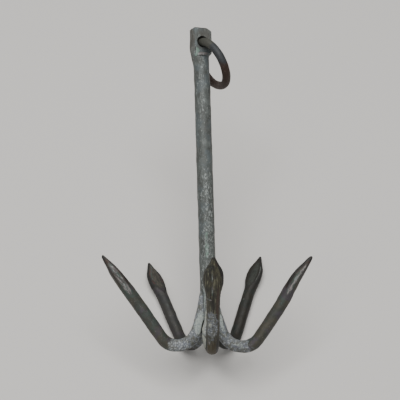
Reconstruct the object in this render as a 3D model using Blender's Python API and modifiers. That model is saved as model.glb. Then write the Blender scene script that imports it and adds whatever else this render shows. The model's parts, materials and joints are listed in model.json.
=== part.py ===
"""A five-armed grapnel anchor with a loose ring, lying on its crown and two of its arms.

The anchor is first modelled upright in its own frame, with the shank on +Z and the lowest
point of the crown at Z = 0. Every piece hangs from one empty, which then lays the anchor
down the way it comes to rest: head up along +Y, arms and crown towards -Y, on the floor
plane Z = 0, with the origin under the middle of its bounding box.
"""
import math

import bmesh
import bpy
import numpy as np
from mathutils import Matrix, Vector

# Clearance between pieces that touch on the real anchor.
SEAT_GAP = 0.0003

# Shank: a round bar whose top is swelled, flattened on two sides and pierced.
SHANK_RADIUS = 0.0116
SHANK_FOOT = 0.0225
SHANK_FOOT_ROUNDING = 0.004
SHANK_TOP = 0.4645
HEAD_RADIUS = 0.0154
HEAD_SWELL_START = 0.404
HEAD_SWELL_END = 0.434
HEAD_CORNER_WIDTH = 0.0078
HEAD_CORNER_HEIGHT = 0.0055
HEAD_THICKNESS = 0.0144
FLAT_FOOT = 0.425
FLAT_RAMP = 0.007
EYE_HEIGHT = 0.4435
EYE_RADIUS = 0.0072
EYE_MOUTH_RADIUS = 0.0083
EYE_MOUTH_DEPTH = 0.0018
EYE_TURN = math.radians(-72.0)

# Arms: round bar, scarfed onto the shank, bent up and drawn out into a spade fluke.
# No two are forged quite alike: name, azimuth, opening from the shank and curl in degrees,
# length from bend to point, height of the bend and sideways sway of its inner leg. The two
# back arms carry the anchor, so their bends and openings match.
ARMS = (
    ("front_arm", -89.3, 36.2, 0.0, 0.133, 0.0, -0.0036),
    ("right_arm", -18.5, 37.0, 3.2, 0.134, -0.0015, 0.0),
    ("back_right_arm", 54.0, 33.5, -2.0, 0.136, 0.0, 0.0),
    ("back_left_arm", 127.0, 33.5, -2.0, 0.1315, 0.0, 0.0),
    ("left_arm", 198.0, 34.2, -2.3, 0.1405, 0.0028, 0.0),
)
BAR_RADIUS = 0.0086
BEND_REACH = 0.0476
BEND_RADIUS = 0.0283
INNER_BEND_RADIUS = 0.032
ROOT_LEAN = math.radians(16.0)
SCARF_LEAN = math.radians(2.0)
SCARF_LENGTH = 0.056
SCARF_HALF_ANGLE = math.radians(34.5)
SCARF_END_SCALE = 0.54
SCARF_TIP_SCALE = 0.36
SCARF_TIP_LENGTH = 0.006
SCARF_SWAY_LENGTH = 0.012
SECTION_POINTS = 18

# Fluke, at distances from its point: half width, depth of the inner side, depth of the back.
# The last is the heel of the palm, where the plain bar begins.
FLUKE_STATIONS = (
    (0.0000, 0.0011, 0.0014, 0.0006),
    (0.0050, 0.0031, 0.0031, 0.0022),
    (0.0110, 0.0054, 0.0047, 0.0036),
    (0.0170, 0.0090, 0.0062, 0.0048),
    (0.0225, 0.0116, 0.0073, 0.0057),
    (0.0300, 0.0129, 0.0083, 0.0068),
    (0.0430, 0.0128, 0.0089, 0.0081),
    (0.0500, 0.0108, 0.0088, 0.0084),
    (0.0580, 0.0093, 0.0087, 0.0086),
    (0.0640, 0.0086, 0.0086, 0.0086),
)
FLUKE_SQUARENESS = 1.6
PALM_TIP_LEVEL = 0.0010
BAR_STATIONS = (0.085, 0.107, 0.126)

# Ring: round bar closed into a circle, hanging loose in the eye.
RING_RADIUS = 0.0343
RING_BAR_RADIUS = 0.0060
RING_SAG = 0.0003
RING_SEGMENTS = 56
RING_BAR_SEGMENTS = 16

# Finishes: colour, roughness, metallic.
WORN_ZINC = ((0.22, 0.25, 0.25), 0.62, 0.55)
BARE_IRON = ((0.07, 0.068, 0.06), 0.55, 0.6)
RING_IRON = ((0.06, 0.06, 0.065), 0.5, 0.6)

# Limits of the search for the pose at rest.
TILT_LIMITS = (math.radians(10.0), math.radians(60.0))
ROLL_LIMITS = (math.radians(-5.0), math.radians(5.0))
HALVINGS = 40

# How finely curves are divided.
TURN_STEPS = 40
EYE_STEPS = 32
CORNER_STEPS = 4
SWELL_STEPS = 8
INNER_BEND_STEPS = 8
OUTER_BEND_STEPS = 6
SCARF_STEPS = 9
CURL_STEPS = 8
SHARP_ANGLE = math.radians(40.0)
MERGE_DISTANCE = 0.00005
CUT_DISTANCE = 0.0000001


def clear_scene():
    """Remove whatever the scene holds."""
    for item in list(bpy.data.objects):
        bpy.data.objects.remove(item, do_unlink=True)


def make_collection(name):
    """Return a new collection linked to the scene."""
    group = bpy.data.collections.new(name)
    bpy.context.scene.collection.children.link(group)
    return group


def make_material(name, finish):
    """Return a Principled material with the finish's colour, roughness and metallic value."""
    colour, roughness, metallic = finish
    material = bpy.data.materials.new(name)
    material.use_nodes = True
    shader = material.node_tree.nodes["Principled BSDF"]
    shader.inputs["Base Color"].default_value = (*colour, 1.0)
    shader.inputs["Roughness"].default_value = roughness
    shader.inputs["Metallic"].default_value = metallic
    return material


def make_object(name, mesh, group, material=None):
    """Wrap a mesh in an object of the given collection."""
    item = bpy.data.objects.new(name, mesh)
    group.objects.link(item)
    if material is not None:
        mesh.materials.append(material)
    return item


def mark_cutter(item):
    """Keep a cutting solid out of sight."""
    item.hide_render = True
    item.display_type = "WIRE"
    return item


def shade_round(mesh):
    """Shade a mesh smooth, apart from its sharp edges."""
    mesh.shade_smooth()
    mesh.set_sharp_from_angle(angle=SHARP_ANGLE)


def add_cut(item, cutter):
    """Subtract the cutter from the item."""
    cut = item.modifiers.new("cut_" + cutter.name, "BOOLEAN")
    cut.operation = "DIFFERENCE"
    cut.solver = "EXACT"
    cut.object = cutter


def turned_solid(name, profile, group, steps=TURN_STEPS, material=None):
    """Turn a profile of (radius, height) points, listed top to bottom, about Z."""
    mesh = bpy.data.meshes.new(name)
    points = [(radius, 0.0, height) for radius, height in profile]
    edges = [(index, index + 1) for index in range(len(points) - 1)]
    mesh.from_pydata(points, edges, [])
    item = make_object(name, mesh, group, material)
    screw = item.modifiers.new("turn", "SCREW")
    screw.axis = "Z"
    screw.steps = steps
    screw.render_steps = steps
    screw.use_merge_vertices = True
    screw.merge_threshold = MERGE_DISTANCE
    screw.use_smooth_shade = True
    return item


def rounded_corner(radius_in, radius_out, height_end, height_side):
    """Points of a quarter ellipse from the end face round to the side of a turned bar."""
    points = []
    for index in range(CORNER_STEPS + 1):
        angle = 0.5 * math.pi * index / CORNER_STEPS
        reach = radius_in + (radius_out - radius_in) * math.sin(angle)
        height = height_side + (height_end - height_side) * math.cos(angle)
        points.append((reach, height))
    return points


def smooth_step(value):
    """Ease from 0 to 1."""
    value = min(max(value, 0.0), 1.0)
    return value * value * (3.0 - 2.0 * value)


def shank_profile(growth=0.0):
    """Outline of the shank before its head is flattened, grown outward by a clearance."""
    top = SHANK_TOP + growth
    foot = SHANK_FOOT - growth
    head = HEAD_RADIUS + growth
    bar = SHANK_RADIUS + growth
    points = [(0.0, top)]
    points += rounded_corner(head - HEAD_CORNER_WIDTH, head, top, top - HEAD_CORNER_HEIGHT)
    for index in range(SWELL_STEPS + 1):
        share = index / SWELL_STEPS
        height = HEAD_SWELL_END + (HEAD_SWELL_START - HEAD_SWELL_END) * share
        points.append((head + (bar - head) * smooth_step(share), height))
    corner = rounded_corner(bar - SHANK_FOOT_ROUNDING, bar, foot, foot + SHANK_FOOT_ROUNDING)
    points += reversed(corner)
    points.append((0.0, foot))
    return points


def flat_cutter(side, group):
    """Block that flattens one face of the head, with a ramp running out at its foot."""
    reach = 2.0 * HEAD_RADIUS
    depth = 0.5 * HEAD_THICKNESS
    ramp_top = FLAT_FOOT + FLAT_RAMP
    above = SHANK_TOP + HEAD_RADIUS
    outline = [(depth, above), (depth, ramp_top), (reach, ramp_top - reach + depth), (reach, above)]
    bm = bmesh.new()
    corners = [bm.verts.new((side * out, -reach, height)) for out, height in outline]
    face = bm.faces.new(corners)
    swept = bmesh.ops.extrude_face_region(bm, geom=[face])
    moved = [part for part in swept["geom"] if isinstance(part, bmesh.types.BMVert)]
    bmesh.ops.translate(bm, verts=moved, vec=(0.0, 2.0 * reach, 0.0))
    bmesh.ops.recalc_face_normals(bm, faces=bm.faces)
    mesh = bpy.data.meshes.new("flat_cutter")
    bm.to_mesh(mesh)
    bm.free()
    name = "flat_cutter_front" if side > 0.0 else "flat_cutter_back"
    cutter = mark_cutter(make_object(name, mesh, group))
    cutter.rotation_euler = (0.0, 0.0, EYE_TURN)
    return cutter


def eye_cutter(group):
    """Drill for the eye, flared at both mouths where the ring has worn them."""
    half = 0.5 * HEAD_THICKNESS
    past = half + HEAD_RADIUS
    inner = half - EYE_MOUTH_DEPTH
    profile = [
        (0.0, past),
        (EYE_MOUTH_RADIUS, past),
        (EYE_MOUTH_RADIUS, half),
        (EYE_RADIUS, inner),
        (EYE_RADIUS, -inner),
        (EYE_MOUTH_RADIUS, -half),
        (EYE_MOUTH_RADIUS, -past),
        (0.0, -past),
    ]
    cutter = mark_cutter(turned_solid("eye_cutter", profile, group, steps=EYE_STEPS))
    turn = Matrix.Rotation(EYE_TURN, 4, "Z") @ Matrix.Rotation(0.5 * math.pi, 4, "Y")
    cutter.matrix_world = Matrix.Translation((0.0, 0.0, EYE_HEIGHT)) @ turn
    return cutter


def make_shank(group, cutters, material):
    """The shank with its flattened, pierced head."""
    shank = turned_solid("shank", shank_profile(), group, material=material)
    add_cut(shank, flat_cutter(1.0, cutters))
    add_cut(shank, flat_cutter(-1.0, cutters))
    add_cut(shank, eye_cutter(cutters))
    return shank


def walk_arc(start, heading, length, turn, steps):
    """Follow an arc in the (reach, height) plane.

    The heading is the angle from straight outward, growing upward. The start itself is
    left out of the list of (reach, height, heading, distance) that comes back.
    """
    reach, height = start
    stride = length / steps
    bend = turn / steps
    places = []
    for index in range(steps):
        middle = heading + bend * (index + 0.5)
        reach += stride * math.cos(middle)
        height += stride * math.sin(middle)
        places.append((reach, height, heading + bend * (index + 1), stride * (index + 1)))
    return places


def scarf_half_width(reach, depth):
    """Half width that keeps a scarf clear of its neighbours.

    Widest ellipse of the given depth, centred at the reach, between the two planes that
    part it from the scarfs on either side.
    """
    sine = math.sin(SCARF_HALF_ANGLE)
    room = (reach * sine - 0.5 * SEAT_GAP) ** 2 - (depth * sine) ** 2
    return min(depth, math.sqrt(room) / math.cos(SCARF_HALF_ANGLE))


def arm_stations(opening, curl, length, rise, sway):
    """Stations along an arm, from the top of its scarf to its point.

    The opening is the angle between the shank and the arm where it leaves its bend, and
    the curl is how far the arm closes on the shank again from there to its point. Each is
    (reach, height, side, heading, half width, inner depth, back depth).
    """
    bottom = (BEND_REACH, BAR_RADIUS + rise)
    inner_turn = 0.5 * math.pi - ROOT_LEAN
    inner_length = INNER_BEND_RADIUS * inner_turn
    inner = walk_arc(bottom, math.pi, inner_length, -inner_turn, INNER_BEND_STEPS)
    scarf_turn = SCARF_LEAN - ROOT_LEAN
    scarf_top = SCARF_LENGTH - rise
    scarf = walk_arc(inner[-1][:2], inner[-1][2], scarf_top, scarf_turn, SCARF_STEPS)
    stations = []
    for reach, height, heading, distance in reversed(scarf):
        scale = 1.0 + (SCARF_END_SCALE - 1.0) * distance / scarf_top
        if scarf_top - distance < SCARF_TIP_LENGTH:
            scale = SCARF_TIP_SCALE
        depth = BAR_RADIUS * scale
        side = sway * smooth_step(1.0 - distance / SCARF_SWAY_LENGTH)
        half_width = scarf_half_width(reach, depth)
        stations.append((reach, height, side, heading - math.pi, half_width, depth, depth))
    bar = (BAR_RADIUS, BAR_RADIUS, BAR_RADIUS)
    for reach, height, heading, distance in reversed(inner):
        side = sway * smooth_step(distance / inner_length)
        stations.append((reach, height, side, heading - math.pi, *bar))
    stations.append((*bottom, 0.0, 0.0, *bar))
    outer_turn = 0.5 * math.pi - opening
    outer = walk_arc(bottom, 0.0, BEND_RADIUS * outer_turn, outer_turn, OUTER_BEND_STEPS)
    for reach, height, heading, _ in outer:
        stations.append((reach, height, 0.0, heading, *bar))
    bend_end = outer[-1]
    plain = [(from_tip, *bar) for from_tip in BAR_STATIONS]
    for from_tip, half_width, inner_depth, back_depth in reversed([*FLUKE_STATIONS, *plain]):
        share = 1.0 - from_tip / length
        reach, height, heading, _ = walk_arc(
            bend_end[:2], bend_end[2], length * share, curl * share, CURL_STEPS
        )[-1]
        stations.append((reach, height, 0.0, heading, half_width, inner_depth, back_depth))
    return stations


def section_points(half_width, inner_depth, back_depth, squareness):
    """Closed outline (across, depth) of a bar; depth grows towards the shank side."""
    points = []
    for index in range(SECTION_POINTS):
        angle = 2.0 * math.pi * index / SECTION_POINTS
        across = math.copysign(abs(math.cos(angle)) ** (2.0 / squareness), math.cos(angle))
        depth = math.copysign(abs(math.sin(angle)) ** (2.0 / squareness), math.sin(angle))
        depth *= inner_depth if depth > 0.0 else back_depth
        points.append((half_width * across, depth))
    return points


def arm_mesh(name, stations):
    """Loft one arm in the plane of +X (outward) and +Z, then cut its palm flat."""
    bm = bmesh.new()
    rings = []
    for reach, height, side, heading, half_width, inner_depth, back_depth in stations:
        squareness = FLUKE_SQUARENESS if inner_depth != back_depth else 2.0
        inner_way = Vector((-math.sin(heading), 0.0, math.cos(heading)))
        centre = Vector((reach, side, height))
        ring = []
        for across, depth in section_points(half_width, inner_depth, back_depth, squareness):
            offset = Vector((0.0, across, 0.0)) + inner_way * depth
            ring.append(bm.verts.new(centre + offset))
        rings.append(ring)
    for ring, following in zip(rings, rings[1:]):
        for index in range(SECTION_POINTS):
            after = (index + 1) % SECTION_POINTS
            bm.faces.new((ring[index], ring[after], following[after], following[index]))
    bm.faces.new(rings[0])
    bm.faces.new(rings[-1])
    bmesh.ops.recalc_face_normals(bm, faces=bm.faces)
    cut_palm(bm, stations[-1], stations[-len(FLUKE_STATIONS)])
    mesh = bpy.data.meshes.new(name)
    bm.to_mesh(mesh)
    bm.free()
    return mesh


def cut_palm(bm, tip_station, heel_station):
    """Cut the flat palm on the inner side of the fluke, from its point back to its heel."""
    centres = []
    inner_ways = []
    for station in (tip_station, heel_station):
        reach, height, side, heading = station[:4]
        centres.append(Vector((reach, side, height)))
        inner_ways.append(Vector((-math.sin(heading), 0.0, math.cos(heading))))
    tip = centres[0] + inner_ways[0] * PALM_TIP_LEVEL
    heel = centres[1] + inner_ways[1] * BAR_RADIUS
    outward = (tip - heel).normalized()
    normal = outward.cross(Vector((0.0, 1.0, 0.0)))
    if normal.dot(inner_ways[0]) < 0.0:
        normal.negate()
    near = heel - outward * BAR_RADIUS
    fluke = [face for face in bm.faces if (face.calc_center_median() - near).dot(outward) > 0.0]
    edges = {edge for face in fluke for edge in face.edges}
    verts = {vert for face in fluke for vert in face.verts}
    cut = bmesh.ops.bisect_plane(
        bm,
        geom=[*verts, *edges, *fluke],
        dist=CUT_DISTANCE,
        plane_co=tip,
        plane_no=normal,
        clear_outer=True,
    )
    rim = [part for part in cut["geom_cut"] if isinstance(part, bmesh.types.BMEdge)]
    bmesh.ops.edgenet_fill(bm, edges=rim)
    bmesh.ops.recalc_face_normals(bm, faces=bm.faces)


def make_arms(group, cutters, material):
    """Five arms round the crown, the two back ones turned to the floor."""
    seat = mark_cutter(turned_solid("shank_seat", shank_profile(SEAT_GAP), cutters))
    arms = {}
    for name, azimuth, opening, curl, length, rise, sway in ARMS:
        turns = (math.radians(opening), math.radians(curl))
        stations = arm_stations(*turns, length, rise, sway)
        mesh = arm_mesh(name, stations)
        shade_round(mesh)
        arm = make_object(name, mesh, group, material)
        arm.rotation_euler = (0.0, 0.0, math.radians(azimuth))
        add_cut(arm, seat)
        arms[name] = arm
    return arms


def make_ring(group, material):
    """The ring, modelled hanging down from its hinge on the eye's axis."""
    bpy.ops.mesh.primitive_torus_add(
        major_segments=RING_SEGMENTS,
        minor_segments=RING_BAR_SEGMENTS,
        major_radius=RING_RADIUS,
        minor_radius=RING_BAR_RADIUS,
    )
    ring = bpy.context.object
    ring.name = "ring"
    ring.data.name = "ring"
    for holder in list(ring.users_collection):
        holder.objects.unlink(ring)
    group.objects.link(ring)
    hang = Matrix.Translation((0.0, 0.0, -RING_RADIUS - RING_SAG))
    ring.data.transform(hang @ Matrix.Rotation(0.5 * math.pi, 4, "X"))
    ring.data.materials.append(material)
    shade_round(ring.data)
    return ring


def world_points(items):
    """Evaluated vertices of the items in world space, as one array."""
    bpy.context.view_layer.update()
    graph = bpy.context.evaluated_depsgraph_get()
    clouds = []
    for item in items:
        shape = item.evaluated_get(graph)
        mesh = shape.to_mesh()
        flat = np.empty(len(mesh.vertices) * 3)
        mesh.vertices.foreach_get("co", flat)
        place = np.array(shape.matrix_world)
        clouds.append(flat.reshape(-1, 3) @ place[:3, :3].T + place[:3, 3])
        shape.to_mesh_clear()
    return np.vstack(clouds)


def up_direction(tilt, roll):
    """The room's up in the anchor's own frame, with its shank at the tilt above the floor."""
    lean = math.cos(roll)
    return np.array((-math.sin(roll), -math.cos(tilt) * lean, math.sin(tilt) * lean))


def turning_point(test, low, high):
    """Angle between low and high up to which the test holds, by halving the span."""
    for _ in range(HALVINGS):
        middle = 0.5 * (low + high)
        if test(middle):
            low = middle
        else:
            high = middle
    return 0.5 * (low + high)


def resting_tilt(points, roll):
    """Angle between shank and floor where bends and flukes touch at one height."""
    is_bend = points[:, 2] < SHANK_FOOT + BEND_RADIUS
    bends, flukes = points[is_bend], points[~is_bend]

    def on_flukes(tilt):
        up = up_direction(tilt, roll)
        return (flukes @ up).min() < (bends @ up).min()

    return turning_point(on_flukes, *TILT_LIMITS)


def resting_angles(left, right):
    """Tilt and roll with both back arms on the floor.

    The points are those of the left and right back arms while the anchor stands upright.
    """
    both = np.vstack((left, right))

    def on_left_arm(roll):
        up = up_direction(resting_tilt(both, roll), roll)
        return (left @ up).min() < (right @ up).min()

    roll = turning_point(on_left_arm, *ROLL_LIMITS)
    return resting_tilt(both, roll), roll


def lay_down(rest, tilt, roll, items):
    """Tip the upright anchor onto the floor and put the origin under its middle."""
    rest.rotation_euler = (tilt - 0.5 * math.pi, roll, 0.0)
    points = world_points(items)
    low, high = points.min(axis=0), points.max(axis=0)
    rest.location = (-0.5 * (low[0] + high[0]), -0.5 * (low[1] + high[1]), -low[2])


def hang_ring(swing, tilt, roll):
    """Turn the ring's hinge to where the ring hangs plumb, with the eye's axis as local X."""
    swing.location = (0.0, 0.0, EYE_HEIGHT)
    hinge = Vector((math.cos(EYE_TURN), math.sin(EYE_TURN), 0.0))
    gravity = -Vector(up_direction(tilt, roll))
    down = (gravity - hinge * gravity.dot(hinge)).normalized()
    frame = Matrix((hinge, hinge.cross(down), -down)).transposed()
    swing.rotation_euler = frame.to_euler()


def main():
    """Build the anchor, lay it down and hang its ring."""
    clear_scene()
    anchor = make_collection("grapnel_anchor")
    cutters = make_collection("cutters")
    shank = make_shank(anchor, cutters, make_material("worn_zinc", WORN_ZINC))
    arms = make_arms(anchor, cutters, make_material("bare_iron", BARE_IRON))
    ring = make_ring(anchor, make_material("ring_iron", RING_IRON))
    rest = bpy.data.objects.new("rest_pose", None)
    swing = bpy.data.objects.new("ring_hinge", None)
    for empty in (rest, swing):
        anchor.objects.link(empty)
    ring.parent = swing
    swing.parent = rest
    for item in (shank, *arms.values(), *cutters.objects):
        item.parent = rest
    left, right = (world_points([arms[name]]) for name in ("back_left_arm", "back_right_arm"))
    tilt, roll = resting_angles(left, right)
    hang_ring(swing, tilt, roll)
    lay_down(rest, tilt, roll, [shank, *arms.values(), ring])


main()
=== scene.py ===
"""The looks of a forged grapnel anchor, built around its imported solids.

A smith makes such an anchor from straight round bar, and so does this script: each arm is
drawn out straight, hammered flat where its palm is, painted and weathered, and only then
bent round its centreline and laid against the shank.
"""
import json
import logging
import math
from dataclasses import dataclass, field
from enum import Enum
from typing import Optional, Sequence, Union

import bpy
import numpy as np
from mathutils import Matrix, Vector

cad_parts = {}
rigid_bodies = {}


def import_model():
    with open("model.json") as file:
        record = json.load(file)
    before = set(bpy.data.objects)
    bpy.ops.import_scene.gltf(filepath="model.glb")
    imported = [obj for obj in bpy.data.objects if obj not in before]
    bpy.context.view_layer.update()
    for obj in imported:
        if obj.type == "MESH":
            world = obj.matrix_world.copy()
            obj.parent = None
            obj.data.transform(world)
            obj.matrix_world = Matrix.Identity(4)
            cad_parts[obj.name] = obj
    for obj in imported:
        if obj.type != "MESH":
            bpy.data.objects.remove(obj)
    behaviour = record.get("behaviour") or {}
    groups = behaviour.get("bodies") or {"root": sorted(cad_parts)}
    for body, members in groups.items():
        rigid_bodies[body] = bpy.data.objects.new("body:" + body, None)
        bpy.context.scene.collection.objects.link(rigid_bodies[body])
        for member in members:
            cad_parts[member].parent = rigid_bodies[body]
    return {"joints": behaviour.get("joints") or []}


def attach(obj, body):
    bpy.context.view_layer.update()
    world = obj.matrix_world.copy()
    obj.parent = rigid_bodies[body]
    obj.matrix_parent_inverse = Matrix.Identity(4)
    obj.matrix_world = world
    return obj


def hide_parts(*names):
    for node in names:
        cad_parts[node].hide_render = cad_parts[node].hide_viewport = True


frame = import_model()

LOG = logging.getLogger("anchor")
QUARTER = 0.5 * math.pi

Colour = tuple[float, float, float]
Number = Union[float, "Wire"]


class Body(Enum):
    """The bodies that pieces ride on."""

    ANCHOR = "anchor"
    RING = "ring"


class Slot(Enum):
    """The record's material slots."""

    ZINC = "worn_zinc"
    IRON = "bare_iron"
    RING = "ring_iron"


class Grain(Enum):
    """Kinds of surface relief."""

    CLOUDS = "CLOUDS"
    KNOBS = "VORONOI"
    PLAIN = ""


class Mask(Enum):
    """What is painted on a piece before its finish is laid."""

    CRUST = "crust"
    SALT = "salt"
    # real wear and brown stains; on the shank, also painted shade along both sides
    WORN = "worn"
    RUST = "rust"
    FIBRE = "fibre"
    PATINA = "patina"
    SPECK = "speck"
    # painted shade in creases, gaps, the eye, under the ring and along shaded sides and rims, and
    # real dark dirt at the fluke tips
    SHADE = "shade"
    SEAM = "seam"
    BULGE = "bulge"
    UPSET = "upset"


@dataclass(frozen=True)
class RestPose:
    """How the anchor lies: its own upright frame, placed in the row's frame."""

    tilt: float = math.radians(28.7407)
    roll: float = math.radians(-0.4395)
    eye_height: float = 0.4435

    def matrix(self) -> Matrix:
        """Hang the anchor's own frame on the ring's joint.

        Returns:
            Its placement.
        """
        tip = Matrix.Rotation(self.tilt - QUARTER, 4, "X")
        turn = Matrix.Rotation(self.roll, 4, "Y") @ tip
        eye = Vector(frame["joints"][0]["pos_m"])
        return Matrix.Translation(eye - turn @ Vector((0.0, 0.0, self.eye_height))) @ turn


# Materials: wires and recipes


class Wire:
    """A node's output socket, with arithmetic that adds Math nodes."""

    def __init__(self, recipe: "Recipe", socket: bpy.types.NodeSocket) -> None:
        """Wrap an output socket of the recipe's tree."""
        self.recipe = recipe
        self.socket = socket

    def _maths(self, operation: str, left: Number, right: Number) -> "Wire":
        """Add a Math node and return its output."""
        settings = {"operation": operation}
        return self.recipe.node("ShaderNodeMath", settings, {0: left, 1: right})

    def __add__(self, other: Number) -> "Wire":
        """Sum."""
        return self._maths("ADD", self, other)

    def __radd__(self, other: Number) -> "Wire":
        """Sum, reflected."""
        return self._maths("ADD", other, self)

    def __sub__(self, other: Number) -> "Wire":
        """Difference."""
        return self._maths("SUBTRACT", self, other)

    def __rsub__(self, other: Number) -> "Wire":
        """Difference, reflected."""
        return self._maths("SUBTRACT", other, self)

    def __mul__(self, other: Number) -> "Wire":
        """Product."""
        return self._maths("MULTIPLY", self, other)

    def __rmul__(self, other: Number) -> "Wire":
        """Product, reflected."""
        return self._maths("MULTIPLY", other, self)

    def above(self, low: float, high: float) -> "Wire":
        """Ease from 0 at the low value to 1 at the high one, which may be the smaller number."""
        sockets = {"Value": self, "From Min": low, "From Max": high}
        return self.recipe.node("ShaderNodeMapRange", {"interpolation_type": "SMOOTHSTEP"}, sockets)


class Recipe:
    """A material under construction."""

    def __init__(self, name: str) -> None:
        """Start an empty material.

        Args:
            name: the material's name.
        """
        self.material = bpy.data.materials.new(name)
        self.material.use_nodes = True
        self.tree = self.material.node_tree
        self.tree.nodes.clear()
        self.place = self.node("ShaderNodeTexCoord", output="Object")

    def node(
        self,
        kind: str,
        settings: Optional[dict] = None,
        sockets: Optional[dict] = None,
        output: Union[int, str] = 0,
    ) -> Optional[Wire]:
        """Add a node.

        Args:
            kind: the node's type.
            settings: its properties.
            sockets: values or wires for its inputs, by name or number.
            output: which output to return.

        Returns:
            The wanted output, or None for a node without outputs.
        """
        node = self.tree.nodes.new(kind)
        for name, value in (settings or {}).items():
            setattr(node, name, value)
        for name, value in (sockets or {}).items():
            socket = node.inputs[name]
            if isinstance(value, Wire):
                self.tree.links.new(value.socket, socket)
            elif socket.type == "RGBA":
                socket.default_value = (*value, 1.0)
            else:
                socket.default_value = value
        return Wire(self, node.outputs[output]) if node.outputs else None

    def painted(self, mask: Mask) -> Wire:
        """A mask that is painted on the piece."""
        return self.node("ShaderNodeAttribute", {"attribute_name": mask.value}, output="Fac")

    def noise(
        self,
        size: float,
        detail: float = 3.0,
        rough: float = 0.55,
        warp: float = 0.0,
        along: Optional[float] = None,
    ) -> Wire:
        """Cloudy noise.

        Args:
            size: size of its features, in metres.
            detail: octaves.
            rough: how strong the finer octaves are.
            warp: distortion.
            along: factor for the bar's length, where the noise follows the bar; the smaller
                it is, the longer the streaks.

        Returns:
            The noise, from 0 to 1.
        """
        coords = self.place
        if along is not None:
            coords = self.node("ShaderNodeAttribute", {"attribute_name": "grain"}, None, "Vector")
            drawn = {0: coords, 1: (along, 1.0, 1.0)}
            coords = self.node("ShaderNodeVectorMath", {"operation": "MULTIPLY"}, drawn)
        sockets = {"Vector": coords, "Scale": 1.0 / size, "Detail": detail}
        sockets |= {"Roughness": rough, "Distortion": warp}
        return self.node("ShaderNodeTexNoise", None, sockets)

    def torn(self, mask: Mask, noise: Wire, share: float, low: float, high: float) -> Wire:
        """A painted mask whose edge is torn by a share of noise, eased from low to high."""
        return (self.painted(mask) + noise * share).above(low, high)

    def mix(self, base: Union[Wire, Colour], over: Union[Wire, Colour], share: Number) -> Wire:
        """Blend a share of one colour over another."""
        return self.node("ShaderNodeMix", {"data_type": "RGBA"}, {0: share, 6: base, 7: over}, 2)

    def dents(self, height: Wire, depth: float, **below: Wire) -> Wire:
        """Bump from a height whose 1 is a depth in metres, over the Normal below it."""
        sockets = {"Height": height, "Distance": depth, "Strength": 1.0, **below}
        return self.node("ShaderNodeBump", None, sockets)

    def pitted(self) -> Wire:
        """The fine pits that every finish has, as a normal."""
        return self.dents(self.noise(0.0013, 4.0, 0.62), 0.00040)

    def close(self, **sockets: Union[Wire, float, Colour]) -> bpy.types.Material:
        """Add the Principled shader and the output.

        Args:
            sockets: the shader's inputs, with spaces in their names as underscores.

        Returns:
            The finished material.
        """
        named = {name.replace("_", " "): value for name, value in sockets.items()}
        shader = self.node("ShaderNodeBsdfPrincipled", None, named)
        self.node("ShaderNodeOutputMaterial", None, {"Surface": shader})
        return self.material


# Finishes


@dataclass(frozen=True)
class Deposit:
    """Pale mineral and zinc salts: a speckled crust, and a smooth skin where it is thick."""

    pale: Colour = (0.35, 0.365, 0.36)
    blue: Colour = (0.128, 0.141, 0.162)
    dull: Colour = (0.098, 0.100, 0.086)
    skin: Colour = (0.325, 0.360, 0.325)
    fleck: float = 0.0021
    share: float = 0.605
    blur: float = 0.11

    def crust(self, recipe: Recipe) -> Wire:
        """Colour of the speckled crust.

        Args:
            recipe: the material.

        Returns:
            The colour.
        """
        patches = recipe.noise(0.0055, 3.0, 0.6).above(0.38, 0.62)
        flecks = recipe.noise(self.fleck, 4.0, 0.75) + patches * 0.05
        flecks = flecks + recipe.painted(Mask.CRUST) * 0.09
        ground = recipe.mix(self.dull, self.blue, patches)
        return recipe.mix(ground, self.pale, flecks.above(self.share, self.share + self.blur))

    def smooth(self, recipe: Recipe) -> Wire:
        """Colour of the smooth skin."""
        stains = recipe.noise(0.0030, 5.0, 0.74).above(0.43, 0.62)
        return recipe.mix(self.skin, self.blue, stains * 0.75)

    def lay(self, recipe: Recipe, base: Wire) -> tuple[Wire, Wire]:
        """Lay crust and skin over a colour, where they are painted.

        Args:
            recipe: the material.
            base: the colour below.

        Returns:
            The new colour, and how much of it is crust.
        """
        ragged = recipe.noise(0.0036, 6.0, 0.75)
        crusted = recipe.torn(Mask.CRUST, ragged, 1.9, 1.24, 1.62)
        colour = recipe.mix(base, self.crust(recipe), crusted)
        skinned = recipe.torn(Mask.SALT, ragged, 2.2, 1.42, 1.95)
        return recipe.mix(colour, self.smooth(recipe), skinned), crusted


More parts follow.
